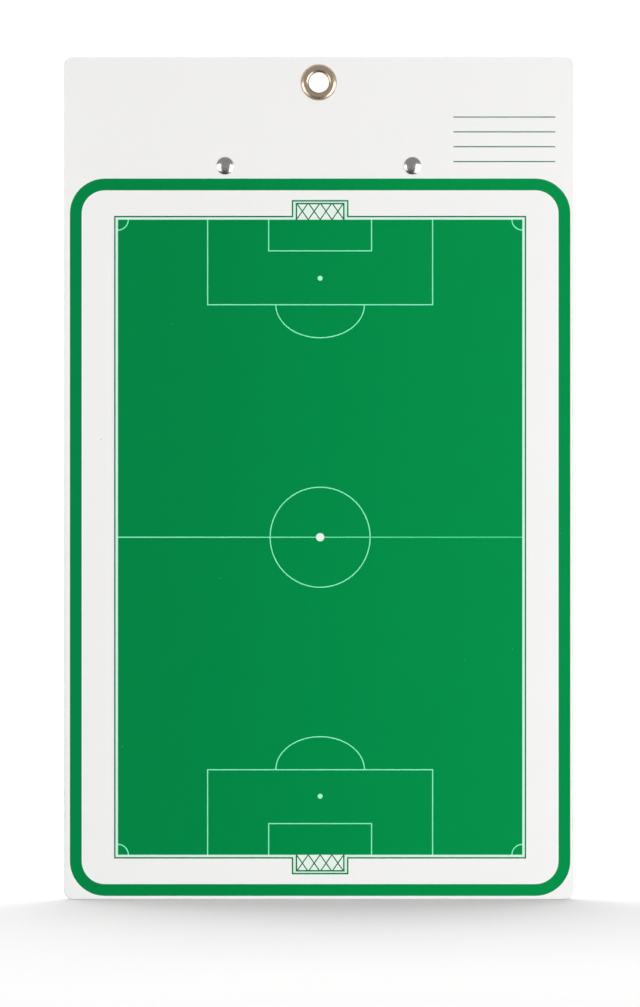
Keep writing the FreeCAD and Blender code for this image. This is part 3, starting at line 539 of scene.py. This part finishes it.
def spring_line(side, per_turn=72, per_leg=12):
    """Points of the wire's middle line, base leg first, and the X of the coil's two ends.

    On the coil, at turn t: x = outer - (last - t) pitch / 2 pi, y = R cos t and z = R sin t from the hinge.
    A leg is a point of the coil's end plus s times the end's tangent. Side 1 is right, -1 its mirror image.
    """
    first = math.pi + leg_slope(base_level, base_leg)
    last = 2 * math.pi * (full_turns + 1) - leg_slope(lever_level, lever_leg)
    rise = coil_pitch / (2 * math.pi)
    turn = np.linspace(first, last, int(per_turn * (full_turns + 0.5)))
    x = coil_outer_x - (last - turn) * rise
    coil = np.stack([x, coil_radius * np.cos(turn), coil_radius * np.sin(turn)], axis=1)
    ends = turn[[0, -1]]
    ways = np.stack([np.full(2, rise), -coil_radius * np.sin(ends), coil_radius * np.cos(ends)], axis=1)
    ways /= coil_radius
    reach = np.linspace(1, 0, per_leg, endpoint=False)[:, None]
    base = coil[0] - ways[0] * base_leg * reach
    lever = coil[-1] + ways[1] * lever_leg * reach[::-1]
    line = np.concatenate([base, coil, lever]) * [side, 1, 1] + np.array(hinge)
    return line, side * x[0], side * x[-1]


print("spring line:", len(spring_line(1)[0]), "points round the hinge at", [round(c / MM, 1) for c in hinge])

# %% [markdown]
# A tube is a ring carried along a line. Each ring needs two directions square to the line, and the
# spring's own axis helps: the part of X that is square to the tangent is one, and its cross product with
# the tangent is the other. Both come from whole arrays, with no loop over points. The wire's ends were
# cropped, so the last ring is a little smaller, like a nipped edge, and one flat face closes it.

# %% A wire along a line
nip_share = 0.3
sharp_angle = math.radians(50)


def wire_tube(line, radius, sides=20):
    """Points P(i, j) = L(i) + r(i) (cos a(j) N(i) + sin a(j) B(i)), with N and B square to the line."""
    nip = nip_share * radius
    ways = np.gradient(line, axis=0)
    ways /= np.linalg.norm(ways, axis=1, keepdims=True)
    start = [line[:1], line[:1] + nip * ways[:1]]
    end = [line[-1:] - nip * ways[-1:], line[-1:]]
    line = np.concatenate([*start, line[1:-1], *end])
    ways = np.concatenate([ways[:1], ways, ways[-1:]])
    radii = np.full(len(line), radius)
    radii[[0, -1]] -= nip
    across = np.array([1.0, 0, 0]) - ways * ways[:, :1]
    across /= np.linalg.norm(across, axis=1, keepdims=True)
    upright = np.cross(ways, across)
    angle = np.arange(sides) * 2 * math.pi / sides
    rings = np.cos(angle)[:, None] * across[:, None] + np.sin(angle)[:, None] * upright[:, None]
    points = line[:, None] + radii[:, None, None] * rings
    along = np.concatenate([[0], np.cumsum(np.linalg.norm(np.diff(line, axis=0), axis=1))])
    return points, along


def ring_corners(rings, sides):
    """Ring i and side j of the four corners of each quad, from (i, j) to (i + 1, j + 1)."""
    ring, side = np.meshgrid(np.arange(rings - 1), np.arange(sides), indexing="ij")
    step = np.array([[0, 0], [0, 1], [1, 1], [1, 0]])
    return ring[..., None] + step[:, 0], side[..., None] + step[:, 1]


def tube_mesh(name, points, along):
    """A closed mesh of the rings: quads between them, a flat cap at each end and the wire's UV map."""
    rings, sides = points.shape[:2]
    ring, side = ring_corners(rings, sides)
    quads = (ring * sides + side % sides).reshape(-1, 4)
    near_cap = np.arange(sides)[::-1]
    far_cap = near_cap[::-1] + (rings - 1) * sides
    faces = quads.tolist() + [near_cap.tolist(), far_cap.tolist()]
    mesh = bpy.data.meshes.new(name)
    mesh.from_pydata(points.reshape(-1, 3).tolist(), [], faces)
    uv = np.zeros((len(mesh.loops), 2))
    uv[:quads.size] = np.stack([along[ring], side / sides], axis=-1).reshape(-1, 2)
    mesh.uv_layers.new(name="wire").data.foreach_set("uv", uv.ravel())
    mesh.shade_smooth()
    mesh.set_sharp_from_angle(angle=sharp_angle)
    return mesh


print("tube: rings of", wire_tube(spring_line(1)[0], wire_radius)[0].shape[1], "points")

# %% [markdown]
# When the jaw opens, a spring's base leg stays on the plate and its other leg follows the lever, while
# the turns between them wind up a little. The wires here are built in their rest shape only. The new
# wires stand for the imported springs, and fit the same box.

# %% Two torsion springs
for name, side in (("left", -1), ("right", 1)):
    line, base_x, lever_x = spring_line(side)
    points, along = wire_tube(line, wire_radius)
    wire_mesh = tube_mesh(f"torsion_spring_{name}", points, along)
    spring = bpy.data.objects.new(f"torsion_spring_{name}", wire_mesh)
    bpy.context.scene.collection.objects.link(spring)
    spring.data.materials.append(finishes["spring_steel"])
    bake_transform(spring)
    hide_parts(f"clip_spring_{name}")
    packed = np.array(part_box(f"clip_spring_{name}"))
    made = np.stack([points.min((0, 1)), points.max((0, 1))])
    print(spring.name, "wire", round(along[-1] / MM, 1), "mm, off its packed box by",
          round(np.abs(made - packed).max() / MM, 3), "mm")

# %% [markdown]
# The picture was taken straight on with a long lens, so the board's sides are parallel and its front
# fills the frame. The camera is worked out from the board itself: four measured pixels say where the
# board's edges lie in the picture, which gives the size of a pixel and the point that the middle of the
# picture looks at. The camera's sensor spans the longer side of the picture, which is its height.

# %% Camera
PICTURE_WIDTH = 640
PICTURE_HEIGHT = 1007
BOARD_LEFT_PIXEL = 64.4
BOARD_RIGHT_PIXEL = 573.3
BOARD_TOP_PIXEL = 57.4
BOARD_BOTTOM_PIXEL = 898.5
camera_distance = 2.4

board_low, board_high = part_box("board_panel")
board_middle = (board_low + board_high) / 2
pixel = (board_high.x - board_low.x) / (BOARD_RIGHT_PIXEL - BOARD_LEFT_PIXEL)
aim_x = board_middle.x + (PICTURE_WIDTH - BOARD_LEFT_PIXEL - BOARD_RIGHT_PIXEL) / 2 * pixel
aim_z = board_middle.z - (PICTURE_HEIGHT - BOARD_TOP_PIXEL - BOARD_BOTTOM_PIXEL) / 2 * pixel
lens = bpy.data.cameras.new("portrait_camera")
lens.lens = lens.sensor_width * camera_distance / (PICTURE_HEIGHT * pixel)
camera = bpy.data.objects.new("portrait_camera", lens)
camera.location = (aim_x, board_low.y - camera_distance, aim_z)
camera.rotation_euler = (math.pi / 2, 0, 0)
bpy.context.scene.collection.objects.link(camera)
bpy.context.scene.camera = camera
print("camera: lens", round(lens.lens), "mm, pixel", round(pixel / MM, 4), "mm")

# %% [markdown]
# The board stands on a plain pale floor. The floor is a disc worked out in rings that widen with
# distance, and its rim fades away, so no edge or horizon shows against the backdrop. It is only a stage:
# it takes the board's shadow, but it neither blocks nor returns light, so the board is lit as evenly as
# in the picture.

# %% Floor
floor_radius = 1.2
solid_radius = 0.45 * floor_radius


def grey(level):
    """A neutral colour."""
    return (level, level, level, 1)


def disc_points(radius, rings=24, sides=64):
    """Points at ring i and angle a: r(i) = radius (i / rings) squared, x = r cos a and y = r sin a."""
    reach = radius * (np.arange(1, rings + 1) / rings) ** 2
    angle = np.arange(sides) * 2 * math.pi / sides
    flat = np.stack([np.cos(angle), np.sin(angle), np.zeros(sides)], axis=1)
    return reach[:, None, None] * flat


def pale_floor():
    """A matt pale grey with soft clouds, see-through towards its rim."""
    finish = Finish("pale_floor", {"Specular IOR Level": 0.0})
    x, y, _ = finish.axes(finish.place)
    rim = finish.fade(distance_from(x, y), floor_radius, solid_radius)
    cloud = finish.noise(180 * MM, detail=3.0)
    colour = finish.blend(cloud, grey(0.70), grey(0.72))
    finish.cover({"Base Color": colour, "Roughness": 0.8 + 0.1 * cloud, "Alpha": rim})
    return finish.material


floor_points = disc_points(floor_radius) + [0, 0, board_low.z]
rings, sides = floor_points.shape[:2]
ring, side = ring_corners(rings, sides)
upward_quads = (ring * sides + side % sides).reshape(-1, 4)[:, ::-1]
middle_face = list(range(sides))
floor_mesh = bpy.data.meshes.new("floor")
floor_mesh.from_pydata(floor_points.reshape(-1, 3).tolist(), [], upward_quads.tolist() + [middle_face])
floor = bpy.data.objects.new("floor", floor_mesh)
floor.data.materials.append(pale_floor())
floor.visible_diffuse = False
floor.visible_glossy = False
floor.visible_shadow = False
bpy.context.scene.collection.objects.link(floor)
print("floor: at", round(board_low.z / MM, 1), "mm,", len(floor_mesh.polygons), "faces")

# %% [markdown]
# The studio has a backdrop behind the board with a bright patch in its middle, and a dim room behind the
# camera. Both are a sky that depends on direction alone, and both darken towards the ground, which gives
# bent metal its dark side.

# %% Backdrop and room
dark_ground = grey(0.05)
dim_room = (0.34, 0.33, 0.325, 1)
low_cloth = grey(0.28)
high_cloth = grey(0.50)
bright_patch = grey(1.1)

world = bpy.data.worlds.new("studio")
world.use_nodes = True
sky = Network(world.node_tree)
_, depth, height = sky.axes(sky.node("ShaderNodeTexCoord", output="Generated"))
room = sky.blend(sky.fade(height, -1.0, -0.25), dark_ground, dim_room)
cloth = sky.blend(sky.fade(height, -0.5, 0.5), low_cloth, high_cloth)
backdrop = sky.blend(sky.fade(depth, 0.87, 0.97), cloth, bright_patch)
surroundings = sky.blend(sky.fade(depth, -0.25, 0.25), room, backdrop)
sky.feed(world.node_tree.nodes["Background"].inputs["Color"], surroundings)
bpy.context.scene.world = world
print("sky:", len(world.node_tree.nodes), "nodes")

# %% [markdown]
# Two large soft lights do the lighting. The fill stands beside the camera, to the right, and lights the
# front evenly. The overhead hangs above and behind the board: it whitens the floor, and where the board
# hides it, it leaves the soft shadow in front. Metal would mirror both as plain squares, so they are
# hidden from reflections. Three cards do that work instead, as in a product studio: they light no matt
# surface and show only where something shiny mirrors them. Two glow close beside the board. The right one
# reaches further down, so the eyelet is brightest at its lower right and each rivet has a large and a
# small highlight. The third is long and narrow, up behind the board, and draws a bright line along each
# bend of the clip. The Standard view shows colours as they are worked out, so that white stays white.

# %% Lights
def softbox(name, place, target, width, height, watts):
    """A rectangular light at a place, turned to a target and hidden from the camera."""
    light = bpy.data.lights.new(name, "AREA")
    light.shape = "RECTANGLE"
    light.size = width
    light.size_y = height
    light.energy = watts
    box = bpy.data.objects.new(name, light)
    box.location = place
    box.rotation_mode = "QUATERNION"
    towards = Vector(target) - Vector(place)
    box.rotation_quaternion = towards.to_track_quat("-Z", "Y")
    box.visible_camera = False
    bpy.context.scene.collection.objects.link(box)
    print(name, "light:", watts, "W at", round(towards.length, 2), "m")
    return box


board_front = (0, board_low.y, board_middle.z)
board_foot = (0, 0.1, board_low.z)
lamps = [
    softbox("fill", place=(0.65, -2.6, -0.22), target=board_front, width=2.4, height=2.4, watts=62.2),
    softbox("overhead", place=(-0.2, 1.05, 2.2), target=board_foot, width=3.0, height=2.0, watts=107.0),
]
cards = [
    softbox("left_card", place=(-0.275, -0.065, -0.09), target=(-0.241, 0.029, -0.09),
            width=0.27, height=0.20, watts=0.46),
    softbox("right_card", place=(0.293, -0.105, -0.19), target=(0.232, -0.002, -0.19),
            width=0.30, height=0.42, watts=1.24),
    softbox("rear_card", place=(0, 0.75, 0.45), target=(0, 0, -0.06),
            width=2.2, height=0.18, watts=2.5),
]
for lamp in lamps:
    lamp.visible_glossy = False
for card in cards:
    card.visible_diffuse = False
bpy.context.scene.view_settings.view_transform = "Standard"
